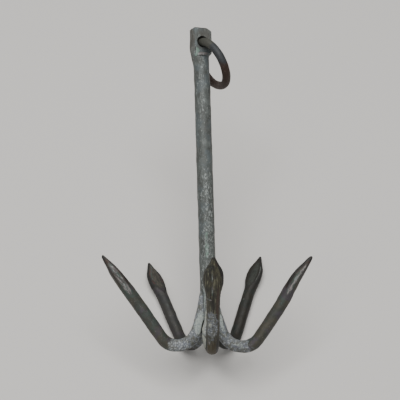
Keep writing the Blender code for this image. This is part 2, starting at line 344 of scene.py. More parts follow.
@dataclass(frozen=True)
class ZincFinish:
    """Galvanising gone to mottled grey-green, with pale flecks and streaks."""

    name: str = "weathered_zinc"
    grey: Colour = (0.096, 0.107, 0.099)
    dark: Colour = (0.060, 0.064, 0.058)
    pale: Colour = (0.29, 0.315, 0.30)
    green: Colour = (0.140, 0.205, 0.168)
    blue: Colour = (0.086, 0.104, 0.108)
    pink: Colour = (0.150, 0.134, 0.130)
    # brown stains, also used as painted shade on the shank's sides
    brown: Colour = (0.062, 0.057, 0.047)
    shade_and_grime: Colour = (0.016, 0.015, 0.013)
    deposit: Deposit = Deposit(skin=(0.24, 0.265, 0.235))

    def make(self) -> bpy.types.Material:
        """Build the material.

        Returns:
            The material.
        """
        recipe = Recipe(self.name)
        clouds = recipe.noise(0.014, 4.0, 0.6).above(0.30, 0.60)
        mottle = recipe.noise(0.0050, 5.0, 0.72, along=0.7).above(0.56, 0.40)
        base = recipe.mix(self.dark, self.grey, clouds - mottle * 0.6)
        base = recipe.mix(base, self.blue, recipe.noise(0.024, 2.0).above(0.48, 0.62) * 0.7)
        broken = recipe.noise(0.0050, 4.0, 0.65, along=0.5)
        base = recipe.mix(base, self.green, recipe.torn(Mask.PATINA, broken, 0.9, 0.95, 1.15))
        base = recipe.mix(base, self.pink, recipe.torn(Mask.RUST, broken, 0.8, 0.90, 1.15))
        # brown stains, and painted shade along the shank's sides, where that mask is painted
        stain_and_side_shade = recipe.torn(Mask.WORN, broken, 0.9, 0.75, 1.35)
        base = recipe.mix(base, self.brown, stain_and_side_shade * 0.85)
        streaks = recipe.noise(0.0024, 4.0, 0.62, 0.4, along=0.16).above(0.54, 0.66)
        streaks = streaks * recipe.noise(0.018, 2.0).above(0.40, 0.56)
        granular = recipe.painted(Mask.SPECK)
        fine = recipe.noise(0.0017, 4.0, 0.74, 0.3, along=0.5)
        coarse = recipe.noise(0.0032, 5.0, 0.74, 0.4, along=0.5)
        flecks = (fine * 0.5 + coarse * 0.5 + granular * 0.055).above(0.555, 0.625)
        flecks = flecks * (1.0 - stain_and_side_shade * 0.8)
        base = recipe.mix(base, self.pale, streaks * 0.30 + flecks * 0.80)
        spots = recipe.noise(0.0022, 4.0, 0.7, along=0.6) - granular * 0.07
        base = recipe.mix(base, self.dark, spots.above(0.43, 0.35) * 0.8)
        colour, crusted = self.deposit.lay(recipe, base)
        # near-black painted shade, and dark dirt at the tips, where that mask is painted
        shade_and_grime_share = recipe.torn(Mask.SHADE, broken, 0.4, 0.60, 0.95)
        return recipe.close(
            Base_Color=recipe.mix(colour, self.shade_and_grime, shade_and_grime_share),
            Roughness=0.56 + crusted * 0.25,
            Metallic=0.22 - crusted * 0.22,
            Normal=recipe.dents(flecks, 0.00012, Normal=recipe.pitted()),
        )


@dataclass(frozen=True)
class IronFinish:
    """Bare forged iron: dark scale, fibrous where it has rusted, crusted near the crown."""

    name: str = "bare_iron"
    char: Colour = (0.038, 0.040, 0.033)
    olive: Colour = (0.056, 0.052, 0.038)
    tint: Colour = (0.054, 0.045, 0.054)
    teal: Colour = (0.038, 0.055, 0.045)
    rust: Colour = (0.049, 0.029, 0.021)
    pale: Colour = (0.27, 0.285, 0.28)
    bloom: Colour = (0.047, 0.054, 0.047)
    bright: Colour = (0.310, 0.282, 0.268)
    rubbed: Colour = (0.074, 0.066, 0.064)
    verdigris: Colour = (0.056, 0.076, 0.063)
    fibre: Colour = (0.165, 0.160, 0.108)
    crack: Colour = (0.012, 0.011, 0.010)
    shade_and_grime: Colour = (0.014, 0.013, 0.011)
    dust: float = 0.35
    deposit: Deposit = Deposit()

    def make(self) -> bpy.types.Material:
        """Build the material.

        Returns:
            The material.
        """
        recipe = Recipe(self.name)
        strands = recipe.noise(0.0016, 4.0, 0.62, 0.3, along=0.07)
        fibrous = recipe.painted(Mask.FIBRE)
        base = recipe.mix(self.char, self.olive, recipe.noise(0.013, 3.0).above(0.38, 0.62))
        base = recipe.mix(base, self.tint, recipe.noise(0.017, 2.0).above(0.52, 0.64) * 0.8)
        base = recipe.mix(base, self.teal, recipe.noise(0.021, 2.0).above(0.47, 0.38) * 0.7)
        base = recipe.mix(base, self.fibre, fibrous * strands.above(0.53, 0.65) * 0.85)
        base = recipe.mix(base, self.crack, fibrous * strands.above(0.48, 0.38) * 0.78)
        dust = recipe.noise(0.0016, 3.0, 0.72).above(0.60, 0.68)
        dust = dust * recipe.noise(0.020, 2.0).above(0.42, 0.60)
        base = recipe.mix(base, self.pale, dust * self.dust)
        ragged = recipe.noise(0.0042, 4.0, 0.65, along=0.4)
        mould = recipe.noise(0.0030, 5.0, 0.74, 0.3, along=0.6).above(0.44, 0.58)
        bloomed = recipe.torn(Mask.PATINA, ragged, 0.9, 0.80, 1.30)
        base = recipe.mix(base, self.bloom, bloomed * (0.45 + mould * 0.75))
        base = recipe.mix(base, self.rust, recipe.torn(Mask.RUST, ragged, 0.9, 0.92, 1.20) * 0.85)
        scratches = recipe.noise(0.0016, 5.0, 0.74, 0.5, along=0.22)
        rubbed = recipe.painted(Mask.WORN)
        tarnish = recipe.mix(self.rubbed, self.verdigris, ragged.above(0.46, 0.56))
        base = recipe.mix(base, tarnish, (rubbed + ragged * 0.5).above(0.50, 1.00) * 0.85)
        worn = (rubbed * 1.5 + scratches * 8.0).above(5.3, 6.3) * rubbed.above(0.05, 0.5)
        bare = recipe.mix(self.bright, self.pale, ragged.above(0.48, 0.58))
        base = recipe.mix(base, bare, worn * 0.70)
        colour, crusted = self.deposit.lay(recipe, base)
        # near-black painted shade, and dark dirt at the tips, where that mask is painted
        shade_and_grime_share = recipe.torn(Mask.SHADE, ragged, 0.4, 0.60, 0.95)
        return recipe.close(
            Base_Color=recipe.mix(colour, self.shade_and_grime, shade_and_grime_share),
            Roughness=0.58 + crusted * 0.25 - worn * 0.08,
            Metallic=0.25 - crusted * 0.25,
            Normal=recipe.dents(strands * (fibrous + 0.35), 0.00070, Normal=recipe.pitted()),
        )


@dataclass(frozen=True)
class RingFinish:
    """Dark blue-grey scale that turns maroon-black lower down."""

    name: str = "ring_iron"
    blue: Colour = (0.027, 0.030, 0.032)
    brown: Colour = (0.031, 0.016, 0.010)
    olive: Colour = (0.056, 0.057, 0.046)
    pale: Colour = (0.24, 0.20, 0.18)

    def make(self) -> bpy.types.Material:
        """Build the material.

        Returns:
            The material.
        """
        recipe = Recipe(self.name)
        ragged = recipe.noise(0.0060, 4.0, 0.62)
        base = recipe.mix(self.blue, self.brown, recipe.torn(Mask.RUST, ragged, 0.8, 0.70, 1.10))
        base = recipe.mix(base, self.olive, recipe.torn(Mask.PATINA, ragged, 0.8, 0.80, 1.20))
        # pale flecks all round, and painted highlight flecks on the inner lower edge where the speck
        # mask is painted
        flecks = recipe.noise(0.0016, 3.0, 0.72) + recipe.painted(Mask.SPECK) * 0.08
        base = recipe.mix(base, self.pale, flecks.above(0.63, 0.70) * 0.55)
        return recipe.close(
            Base_Color=base, Roughness=0.58, Metallic=0.20, Normal=recipe.pitted()
        )


@dataclass(frozen=True)
class FloorFinish:
    """Plain pale floor."""

    name: str = "pale_floor"
    colour: Colour = (0.60, 0.58, 0.55)

    def make(self) -> bpy.types.Material:
        """Build the material."""
        return Recipe(self.name).close(Base_Color=self.colour, Roughness=0.75)


Finish = Union[ZincFinish, IronFinish, RingFinish]


# Straight bars: their rings, hammered flats, reliefs and painted masks


@dataclass(frozen=True)
class Section:
    """One ring of a straight bar that runs along +X.

    The inner side is +Y and the back is -Y; the width lies along Z.
    """

    along: float
    half_width: float
    inner: float
    back: float
    side: float = 0.0

    @classmethod
    def round(cls, along: float, radius: float) -> "Section":
        """A round ring."""
        return cls(along, radius, radius, radius)

    @property
    def centre(self) -> Vector:
        """Middle of the ring."""
        return Vector((self.along, 0.5 * (self.inner - self.back), self.side))

    @property
    def half_depth(self) -> float:
        """Half its size along Y."""
        return 0.5 * (self.inner + self.back)


@dataclass(frozen=True)
class Flat:
    """A hammered flat: whatever stands proud of a plane is pressed down to it.

    It works from start to end along the bar, and within a V that opens from its apex.
    """

    point: tuple[float, float, float]
    normal: tuple[float, float, float]
    start: float = -1.0
    end: float = 1.0
    ease: int = 1
    apex: float = -9.0
    spread: float = 1.0


@dataclass(frozen=True)
class Relief:
    """One pass of displacement, along the surface's normals unless an axis is named."""

    grain: Grain
    strength: float
    size: float = 0.001
    stretch: float = 1.0
    mask: Optional[Mask] = None
    octaves: int = 2
    way: str = "NORMAL"


@dataclass(frozen=True)
class Patch:
    """An oval patch on a straight bar: millimetres, and degrees round the bar.

    Degrees run from the inner side, over the right-hand side, to the back at 180.
    """

    along: float
    around: float
    half_length: float
    half_width: float
    strength: float = 1.0


@dataclass(frozen=True)
class Band:
    """A band all round a bar over part of its length, in millimetres."""

    start: float
    end: float
    ease: float
    strength: float = 1.0


@dataclass(frozen=True)
class Rim:
    """A stripe along one side's edge, or inset from it, in millimetres."""

    side: float
    start: float
    end: float
    width: float
    strength: float = 1.0
    inset: float = 0.0


Stroke = Union[Patch, Band, Rim]
Strokes = dict[Mask, Sequence[Stroke]]


def smooth(share: np.ndarray) -> np.ndarray:
    """Clip to 0..1 and ease both ends."""
    share = np.clip(share, 0.0, 1.0)
    return share * share * (3.0 - 2.0 * share)


def ease(share: float) -> float:
    """The same for one number."""
    return float(smooth(np.array(share)))


class Coat:
    """Masks painted on one bar while it is still straight."""

    def __init__(self, points: np.ndarray, sections: Sequence[Section]) -> None:
        """Measure where every point of the bar lies.

        Args:
            points: the bar's vertices.
            sections: its rings.
        """
        self.points = points
        along = [section.along for section in sections]
        depth = points[:, 1] - np.interp(points[:, 0], along, [s.centre.y for s in sections])
        across = points[:, 2] - np.interp(points[:, 0], along, [s.side for s in sections])
        self.along = 1000.0 * points[:, 0]
        self.around = np.degrees(np.arctan2(across, depth))
        self.radius = 1000.0 * np.hypot(depth, across)
        self.across = 1000.0 * across
        self.half = 1000.0 * np.interp(points[:, 0], along, [s.half_width for s in sections])
        self.masks: dict[Mask, np.ndarray] = {}

    def blend(self, mask: Mask, shape: np.ndarray, strength: float = 1.0) -> None:
        """Add a stroke to a mask; a negative strength wipes it away.

        Args:
            mask: the mask.
            shape: the stroke, from 0 to 1.
            strength: how strong it is.
        """
        layer = self.masks.setdefault(mask, np.zeros(len(self.along)))
        if strength < 0.0:
            layer *= 1.0 + strength * shape
        else:
            np.maximum(layer, strength * shape, out=layer)

    def stretch(self, start: float, end: float, ease_over: float) -> np.ndarray:
        """1 between two places along the bar, eased over a length at each."""
        rise = smooth((self.along - start) / ease_over + 0.5)
        return rise * smooth((end - self.along) / ease_over + 0.5)

    def shape(self, stroke: Stroke) -> np.ndarray:
        """How much of a stroke each point gets.

        Args:
            stroke: the patch, band or rim.

        Returns:
            The shares, from 0 to 1.
        """
        if isinstance(stroke, Band):
            return self.stretch(stroke.start, stroke.end, stroke.ease)
        if isinstance(stroke, Rim):
            off = np.abs(self.half - stroke.side * self.across - stroke.inset)
            return smooth(1.5 - off / stroke.width) * self.stretch(stroke.start, stroke.end, 8.0)
        turn = (self.around - stroke.around + 180.0) % 360.0 - 180.0
        arc = np.radians(turn) * np.maximum(self.radius, 3.0)
        reach = np.hypot((self.along - stroke.along) / stroke.half_length, arc / stroke.half_width)
        return smooth((1.4 - reach) / 0.9)

    def lay(self, strokes: Strokes) -> None:
        """Paint the strokes of every mask, in order.

        Args:
            strokes: the strokes.
        """
        for mask, layer in strokes.items():
            for stroke in layer:
                self.blend(mask, self.shape(stroke), stroke.strength)

    def dry(self, item: bpy.types.Object, followed: Sequence[Optional[Mask]]) -> None:
        """Store the masks on the piece.

        Args:
            item: the piece.
            followed: masks that a relief follows, which become vertex groups too.
        """
        for mask, values in self.masks.items():
            layer = item.data.attributes.new(mask.value, "FLOAT", "POINT")
            layer.data.foreach_set("value", values.astype(np.float32))
            if mask in followed:
                weights = item.vertex_groups.new(name=mask.value + "_relief")
                for index in np.flatnonzero(values > 0.004):
                    weights.add([int(index)], float(values[index]), "REPLACE")


class Forging:
    """A piece on the bench, worked by hand in edit mode while it is still straight."""

    item: bpy.types.Object
    rings: Sequence[Section]
    reliefs: Sequence[Relief]
    levels: int

    def start(self) -> None:
        """Make the coarse blank, and its rings."""
        raise NotImplementedError

    def shape(self) -> None:
        """Hammer and cut the rounded blank."""
        raise NotImplementedError

    def paint(self, coat: Coat) -> None:
        """Paint the piece's masks."""
        raise NotImplementedError

    def set_down(self) -> tuple[Matrix, Finish]:
        """Say where the piece goes and what its finish is."""
        raise NotImplementedError

    @staticmethod
    def take(item: Optional[bpy.types.Object] = None) -> None:
        """Deselect all, then select one object and make it active.

        Args:
            item: the object, if any.
        """
        bpy.ops.object.select_all(action="DESELECT")
        if item is not None:
            item.select_set(True)
        bpy.context.view_layer.objects.active = item

    @staticmethod
    def swell(segments: int) -> float:
        """How much larger a ring must be for its subdivided limit to have the wanted size."""
        return 3.0 / (2.0 + math.cos(2.0 * math.pi / segments))

    def draw_out(self, name: str, rings: Sequence[Section], segments: int) -> None:
        """Extrude a straight bar along +X from ring to ring, as a coarse cage with closed ends.

        Args:
            name: the piece's name.
            rings: the rings, in order.
            segments: corners of a ring.
        """
        self.take()
        bpy.ops.mesh.primitive_circle_add(
            vertices=segments, radius=1.0, fill_type="NOTHING", rotation=(0.0, QUARTER, 0.0)
        )
        self.item = bpy.context.object
        self.item.name = self.item.data.name = name
        self.rings = rings
        bpy.ops.object.transform_apply(location=True, rotation=True, scale=True)
        bpy.ops.object.mode_set(mode="EDIT")
        bpy.ops.mesh.select_all(action="SELECT")
        swell, first = self.swell(segments), rings[0]
        size = (1.0, swell * first.half_depth, swell * first.half_width)
        bpy.ops.transform.resize(value=size, center_override=(0.0, 0.0, 0.0))
        bpy.ops.transform.translate(value=first.centre)
        bpy.ops.mesh.edge_face_add()
        for last, ring in zip(rings, rings[1:]):
            step = {"value": ring.centre - last.centre}
            bpy.ops.mesh.extrude_region_move(TRANSFORM_OT_translate=step)
            size = (1.0, ring.half_depth / last.half_depth, ring.half_width / last.half_width)
            bpy.ops.transform.resize(value=size, center_override=ring.centre)
        bpy.ops.mesh.select_all(action="SELECT")
        bpy.ops.mesh.normals_make_consistent(inside=False)
        bpy.ops.object.mode_set(mode="OBJECT")

    def apply(self, kind: str, **settings: object) -> None:
        """Add a modifier and apply it.

        Args:
            kind: the modifier's type.
            settings: its properties.
        """
        self.take(self.item)
        modifier = self.item.modifiers.new("step", kind)
        for name, value in settings.items():
            setattr(modifier, name, value)
        bpy.ops.object.modifier_apply(modifier=modifier.name)

    def rows(self, kind: str, value: str) -> np.ndarray:
        """Read a vector of every vertex or face.

        Args:
            kind: "vertices" or "polygons".
            value: the vector's name.

        Returns:
            One row for each.
        """
        elements = getattr(self.item.data, kind)
        flat = np.empty(len(elements) * 3)
        elements.foreach_get(value, flat)
        return flat.reshape(-1, 3)

    def edit(self, kind: str, chosen: np.ndarray) -> None:
        """Enter edit mode with only the chosen elements selected.

        Args:
            kind: "vertices" or "polygons".
            chosen: which of them.
        """
        for name in ("vertices", "edges", "polygons"):
            elements = getattr(self.item.data, name)
            picked = chosen if name == kind else np.zeros(len(elements), bool)
            elements.foreach_set("select", picked)
        self.take(self.item)
        bpy.ops.object.mode_set(mode="EDIT")

    def press(self, flat: Flat) -> None:
        """Press what stands proud of a flat's plane down to it, and soften the border.

        Args:
            flat: the plane, and the stretch of the bar that it works on.
        """
        normal = Vector(flat.normal).normalized()
        points = self.rows("vertices", "co")
        height = (points - np.array(flat.point)) @ np.array(normal)
        proud = (height > 0.0) & (points[:, 0] > flat.start) & (points[:, 0] < flat.end)
        proud &= np.abs(points[:, 2]) < flat.spread * (points[:, 0] - flat.apex) - 0.0001
        if not proud.any():
            return
        self.edit("vertices", proud)
        across = normal.orthogonal().normalized()
        bpy.ops.transform.resize(
            value=(1.0, 1.0, 0.0),
            orient_type="GLOBAL",
            orient_matrix=Matrix((across, normal.cross(across), normal)).transposed(),
            orient_matrix_type="GLOBAL",
            constraint_axis=(False, False, True),
            center_override=flat.point,
        )
        bpy.ops.mesh.select_more()
        bpy.ops.mesh.vertices_smooth(factor=0.5, repeat=flat.ease)
        bpy.ops.object.mode_set(mode="OBJECT")

    def score(self, apex: float, spread: float, end: float) -> None:
        """Cut edges along both sides of a V, on the bar's inner side.

        Args:
            apex: where the V's point lies along the bar.
            spread: how fast each side opens.
            end: where the V ends.
        """
        for side in (1.0, -1.0):
            along, depth, _ = self.rows("polygons", "center").T
            self.edit("polygons", (depth > 0.0) & (along > apex - 0.001) & (along < end))
            bpy.context.tool_settings.mesh_select_mode = (False, False, True)
            bpy.ops.mesh.bisect(plane_co=(apex, 0.0, 0.0), plane_no=(spread, 0.0, side))
            bpy.context.tool_settings.mesh_select_mode = (True, False, False)
            bpy.ops.object.mode_set(mode="OBJECT")

    def weather(self, coat: Coat) -> None:
        """Displace the surface by each relief in turn, then store where the grain lies.

        Args:
            coat: the masks that the reliefs follow.
        """
        ruler = bpy.data.objects.new("ruler", None)
        bpy.context.scene.collection.objects.link(ruler)
        for relief in self.reliefs:
            settings = {"strength": relief.strength, "mid_level": 0.0, "direction": relief.way}
            if relief.mask in coat.masks:
                settings["vertex_group"] = relief.mask.value + "_relief"
            elif relief.mask is not None:
                continue
            if relief.grain is not Grain.PLAIN:
                texture = bpy.data.textures.new("relief", relief.grain.value)
                texture.noise_scale = relief.size
                if relief.grain is Grain.CLOUDS:
                    texture.noise_depth = relief.octaves
                ruler.scale = (relief.stretch, 1.0, 1.0)
                bpy.context.view_layer.update()
                settings |= {"texture": texture, "texture_coords": "OBJECT", "mid_level": 0.5}
                settings["texture_coords_object"] = ruler
            self.apply("DISPLACE", **settings)
        bpy.data.objects.remove(ruler)
        for texture in list(bpy.data.textures):
            bpy.data.textures.remove(texture)
        grain = self.item.data.attributes.new("grain", "FLOAT_VECTOR", "POINT")
        grain.data.foreach_set("vector", self.rows("vertices", "co").ravel().astype(np.float32))

    def make(self) -> bpy.types.Object:
        """Forge the piece: its blank, its shape, its coat, its relief and then its place.

        Returns:
            The finished piece, with its place in its mesh and its object at the origin.
        """
        self.start()
        self.apply("SUBSURF", levels=self.levels, render_levels=self.levels)
        self.shape()
        coat = Coat(self.rows("vertices", "co"), self.rings)
        self.paint(coat)
        coat.dry(self.item, [relief.mask for relief in self.reliefs])
        self.weather(coat)
        place, finish = self.set_down()
        self.item.data.transform(place)
        self.item.matrix_world = Matrix.Identity(4)
        self.item.vertex_groups.clear()
        self.item.data.materials.append(finish.make())
        self.take(self.item)
        bpy.ops.object.shade_smooth_by_angle(angle=math.radians(50.0))
        return self.item


# Arms


@dataclass(frozen=True)
class ArmPlan:
    """How one arm differs from its fellows: angles in degrees, lengths in metres."""

    node: str
    azimuth: float
    opening: float
    curl: float
    length: float
    facing: float
    strokes: Strokes
    rise: float = 0.0
    sway: float = 0.0
    slim: float = 1.0
    tip_out: float = 0.0
    tip_side: float = 0.0
    wave: float = 0.0
    palm: float = 0.0010
    deep_palm: bool = False
    honed: tuple[float, ...] = ()
    finish: IronFinish = IronFinish()


DARK = IronFinish(
    name="dark_iron",
    char=(0.024, 0.024, 0.023),
    olive=(0.033, 0.031, 0.026),
    tint=(0.034, 0.027, 0.031),
    teal=(0.023, 0.033, 0.028),
    rust=(0.078, 0.036, 0.030),
    bloom=(0.078, 0.070, 0.054),
    dust=0.25,
)

BLACK = IronFinish(
    name="black_iron",
    char=(0.014, 0.013, 0.009),
    olive=(0.020, 0.017, 0.011),
    tint=(0.019, 0.016, 0.014),
    teal=(0.014, 0.019, 0.015),
    pale=(0.17, 0.18, 0.18),
    bloom=(0.042, 0.046, 0.038),
    dust=0.25,
)

FIBROUS = IronFinish(
    name="fibrous_iron",
    char=(0.034, 0.031, 0.022),
    olive=(0.056, 0.050, 0.030),
    tint=(0.039, 0.036, 0.026),
    teal=(0.030, 0.031, 0.023),
    bloom=(0.047, 0.035, 0.015),
    fibre=(0.150, 0.145, 0.094),
    deposit=Deposit(skin=(0.33, 0.34, 0.285)),
)

FRONT = ArmPlan(
    "front_arm", azimuth=-89.3, opening=36.2, curl=0.0, length=0.1330, facing=165.0,
    sway=-0.0036, finish=FIBROUS,
    strokes={
        Mask.FIBRE: (Band(158, 300, 40), Patch(116, 165, 22, 10, 0.75)),
        Mask.CRUST: (Band(-50, 72, 24, 0.7), Patch(155, 166, 26, 10, 0.62)),
        # the narrow patch at 48 mm is pale crust along the root's edge, partly a painted highlight
        Mask.SALT: (Patch(155.8, 155, 2.8, 2.2, 2.4), Patch(79, 74, 17, 6), Patch(48, 46, 22, 4)),
        # painted shade in the crevice under the root and along the lower end's and fluke's rims; the
        # tip is dark dirt
        Mask.SHADE: (
            Patch(56, 112, 15, 8, 0.95), Patch(116, 100, 22, 4, 0.75),
            Patch(116, -128, 22, 4, 0.75), Patch(236, 75, 27, 3, 0.8), Patch(236, -105, 27, 3, 0.8),
            Patch(259, 165, 5, 8, 0.9),
        ),
        Mask.RUST: (Patch(190, -142, 30, 2.6, 0.9), Patch(247, -125, 4, 2, 0.9)),
        Mask.WORN: (
            Patch(127, 141, 6, 3.0, 0.7), Patch(196, 135, 1.6, 5, 1.0),
            Patch(229, 165, 7, 1.2, 0.9), Patch(211, 168, 9, 1.2, 0.9),
        ),
        Mask.PATINA: (Patch(110, 168, 20, 10, 0.95),),
    },
)

RIGHT = ArmPlan(
    "right_arm", azimuth=-18.5, opening=37.0, curl=3.2, length=0.1340, facing=97.0,
    rise=-0.0015, tip_out=0.0012, wave=6.7, palm=0.0024, honed=(1.0,),
    strokes={
        Mask.CRUST: (Band(-50, 113, 22, 0.62), Patch(82, 57, 18, 9, 0.78)),
        Mask.SALT: (Patch(96, 82, 9, 4, 0.5), Patch(45, 50, 18, 3.5, 0.8)),
        Mask.WORN: (
            Patch(207, 105, 9, 3.1, 1.3), Patch(223, 109, 15, 2.7, 1.05),
            Patch(238, 114, 12, 1.7, 1.05),
        ),
        Mask.RUST: (
            Patch(234, 70, 32, 4.4, 1.0), Patch(236, 144, 32, 2.0, 0.9),
            Patch(257, 95, 11, 12, 1.0),
        ),
        # painted shade along the fluke's rims, and dark dirt at the tip
        Mask.SHADE: (
            Patch(232, 72, 32, 3.8, 0.76), Patch(234, 146, 30, 1.8, 0.75),
            Patch(260, 95, 10, 12, 0.72),
        ),
    },
)

BACK_RIGHT = ArmPlan(
    "back_right_arm", azimuth=54.0, opening=33.5, curl=-2.0, length=0.1360, facing=20.0,
    tip_out=0.0020, deep_palm=True, finish=BLACK,
    strokes={
        Mask.CRUST: (Band(-50, 68, 24, 0.6),),
        Mask.PATINA: (Patch(228, 0, 26, 9, 0.9),),
        Mask.WORN: (Rim(1, 214, 243, 0.8, 1.0, inset=3.6), Patch(179, 2, 1.6, 1.6, 0.9)),
        # painted shade along the palm's rims, and dark dirt at the tip
        Mask.SHADE: (Rim(-1, 208, 270, 1.1, 0.8), Rim(1, 208, 270, 2.2), Patch(259, 20, 5, 9, 0.8)),
    },
)

BACK_LEFT = ArmPlan(
    "back_left_arm", azimuth=127.0, opening=33.5, curl=-2.0, length=0.1315, facing=-30.0,
    tip_out=0.0006, tip_side=0.0018, deep_palm=True, finish=DARK,
    strokes={
        Mask.CRUST: (Band(-50, 86, 24, 0.65),),
        Mask.PATINA: (Patch(230, 0, 26, 11, 0.95),),
        Mask.WORN: (Rim(-1, 222, 252, 1.6, 0.75, inset=6.5), Patch(172, -28, 5, 2.4, 0.45)),
        Mask.RUST: (
            Rim(-1, 212, 246, 2.4, 0.64, inset=5.0), Rim(1, 214, 238, 2.0, 0.60, inset=4.0),
        ),
        # painted shade along the palm's rims, and dark dirt at the tip
        Mask.SHADE: (
            Rim(-1, 208, 270, 2.4), Rim(1, 208, 270, 1.1, 0.8), Patch(258, -30, 6, 9, 0.85),
        ),
    },
)

LEFT = ArmPlan(
    "left_arm", azimuth=198.0, opening=34.2, curl=-2.3, length=0.1405, facing=-105.0,
    rise=0.0028, slim=0.90, tip_out=-0.0008, honed=(-1.0,),
    strokes={
        Mask.CRUST: (
            Band(-50, 106, 24, 0.72), Patch(98, -92, 13, 12, 1.15), Patch(75, -84, 9, 8, -0.2),
        ),
        Mask.SALT: (Patch(47, -76, 17, 8.0, 1.1),),
        # painted shade in the gap against the front arm's root and along the fluke's rims, and dark
        # dirt at the tip
        Mask.SHADE: (
            Patch(51, -119, 11, 2.6), Patch(236, -68, 32, 3.6, 0.74),
            Patch(236, -142, 30, 1.8, 0.75), Patch(264, -110, 12, 12, 0.72),
        ),
        Mask.WORN: (
            Patch(150, -98, 48, 9, 0.42), Patch(208, -102, 12, 4.6, 1.35),
            Patch(223, -104, 14, 4.2, 1.15), Patch(238, -102, 12, 2.8, 0.92),
        ),
        Mask.RUST: (
            Patch(236, -68, 32, 4.2, 1.0), Patch(240, -140, 30, 2.2, 0.9),
            Patch(260, -110, 13, 12, 1.0),
        ),
    },
)


@dataclass
class Arm(Forging):
    """An arm: round bar scarfed onto the shank, bent up and drawn into a spade fluke.

    Rows of the fluke are distance from the tip, half width, inner side and back; rows of the
    cap are distance from the scarf's top and share of its size; rows of the wave are length
    and share of its turn. The sunk palm's depths stand at its tip, knee and heel.
    """

    plan: ArmPlan
    bar: float = 0.0086
    bend_reach: float = 0.0476
    bend_radius: float = 0.0283
    inner_bend_radius: float = 0.0320
    root_lean: float = math.radians(16.0)
    scarf_lean: float = math.radians(2.0)
    scarf_length: float = 0.0560
    scarf_half_angle: float = math.radians(34.5)
    scarf_scales: tuple[float, float] = (0.50, 1.0)
    cap: tuple[tuple[float, float], ...] = ((0.0, 0.5), (0.0022, 0.85))
    sway_run: float = 0.012
    wave_reach: float = 0.085
    wave: tuple[tuple[float, float], ...] = ((0.025, 1.0), (0.045, -2.0), (0.015, 0.0))
    stride: float = 0.0020
    segments: int = 12
    levels: int = 3
    ring_spacing: float = 0.0064
    fluke: tuple[tuple[float, float, float, float], ...] = (
        (-0.0003, 0.0014, 0.0014, 0.0015),
        (0.0034, 0.0030, 0.0029, 0.0029),
        (0.0100, 0.0053, 0.0048, 0.0042),
        (0.0165, 0.0090, 0.0064, 0.0053),
        (0.0225, 0.0120, 0.0076, 0.0060),
        (0.0290, 0.0131, 0.0085, 0.0069),
        (0.0360, 0.0131, 0.0088, 0.0076),
        (0.0430, 0.0127, 0.0090, 0.0081),
        (0.0500, 0.0108, 0.0089, 0.0085),
        (0.0570, 0.0094, 0.0087, 0.0086),
        (0.0640, 0.0086, 0.0086, 0.0086),
    )
    tip_shift_reach: float = 0.032
    palm_run: float = 0.064
    palm_end: float = 0.075
    knee: float = 0.036
    heel: float = 0.0625
    heel_spread: float = 0.62
    heel_shade_span: tuple[float, float] = (-0.001, 0.024)
    sunk: tuple[float, float, float] = (0.0012, 0.0030, 0.0076)
    hone_start: float = 0.056
    hone_middle: float = 0.030
    hone_side: float = 0.0112
    shaded_sides: tuple[float, float] = (-88.0, 88.0)
    reliefs: tuple[Relief, ...] = (
        Relief(Grain.CLOUDS, 0.0010, 0.017, octaves=1),
        Relief(Grain.KNOBS, 0.0005, 0.0085, stretch=1.6),
        Relief(Grain.CLOUDS, 0.00035, 0.0035),
        Relief(Grain.CLOUDS, 0.0010, 0.0034, mask=Mask.CRUST, octaves=4),
        Relief(Grain.PLAIN, 0.00035, mask=Mask.SALT),
        Relief(Grain.CLOUDS, 0.0011, 0.0021, stretch=11.0, mask=Mask.FIBRE),
    )
    path: list[tuple[float, float]] = field(default_factory=list)

    def walk(
        self, start: tuple[float, float], heading: float, legs: Sequence[tuple[float, float]]
    ) -> list[tuple[float, float]]:
        """Follow straight and curved legs in the plane of (reach, height).

        Args:
            start: where it begins.
            heading: direction at the start, from straight outward.
            legs: length and turn of each leg.

        Returns:
            The points after the start.
        """
        reach, height = start
        places = []
        for length, turn in legs:
            steps = max(2, round(length / self.stride))
            for index in range(steps):
                middle = heading + turn * (index + 0.5) / steps
                reach += length / steps * math.cos(middle)
                height += length / steps * math.sin(middle)
                places.append((reach, height))
            heading += turn
        return places

    def shaft_legs(self) -> list[tuple[float, float]]:
        """Divide the shaft: a slight curl, and a wave below the fluke.

        Returns:
            Length and turn of each leg.
        """
        plan = self.plan
        return [
            (length, math.radians(plan.curl * length / plan.length + plan.wave * swing))
            for length, swing in ((plan.length - self.wave_reach, 0.0), *self.wave)
        ]

    def centreline(self) -> list[tuple[float, float]]:
        """Follow the bar from the top of the scarf, round the bend, to the fluke's point.

        Returns:
            Reach and height of each point, and of one beyond the last.
        """
        bottom = (self.bend_reach, self.bar + self.plan.rise)
        inner_turn = QUARTER - self.root_lean
        inner = (self.inner_bend_radius * inner_turn, -inner_turn)
        scarf = (self.scarf_length - self.plan.rise, self.scarf_lean - self.root_lean)
        outer_turn = QUARTER - math.radians(self.plan.opening)
        outer = (self.bend_radius * outer_turn, outer_turn)
        backward = self.walk(bottom, math.pi, [inner, scarf])
        forward = self.walk(bottom, 0.0, [outer, *self.shaft_legs()])
        (x_last, y_last), (x_tip, y_tip) = forward[-2:]
        beyond = (3.0 * x_tip - 2.0 * x_last, 3.0 * y_tip - 2.0 * y_last)
        return [*reversed(backward), bottom, *forward, beyond]

    def passed(self) -> np.ndarray:
        """Length of the centreline up to each of its points."""
        return np.cumsum([0.0, *map(math.dist, self.path, self.path[1:])])

    @property
    def total(self) -> float:
        """Length of the centreline, up to the fluke's point."""
        return float(self.passed()[-2])

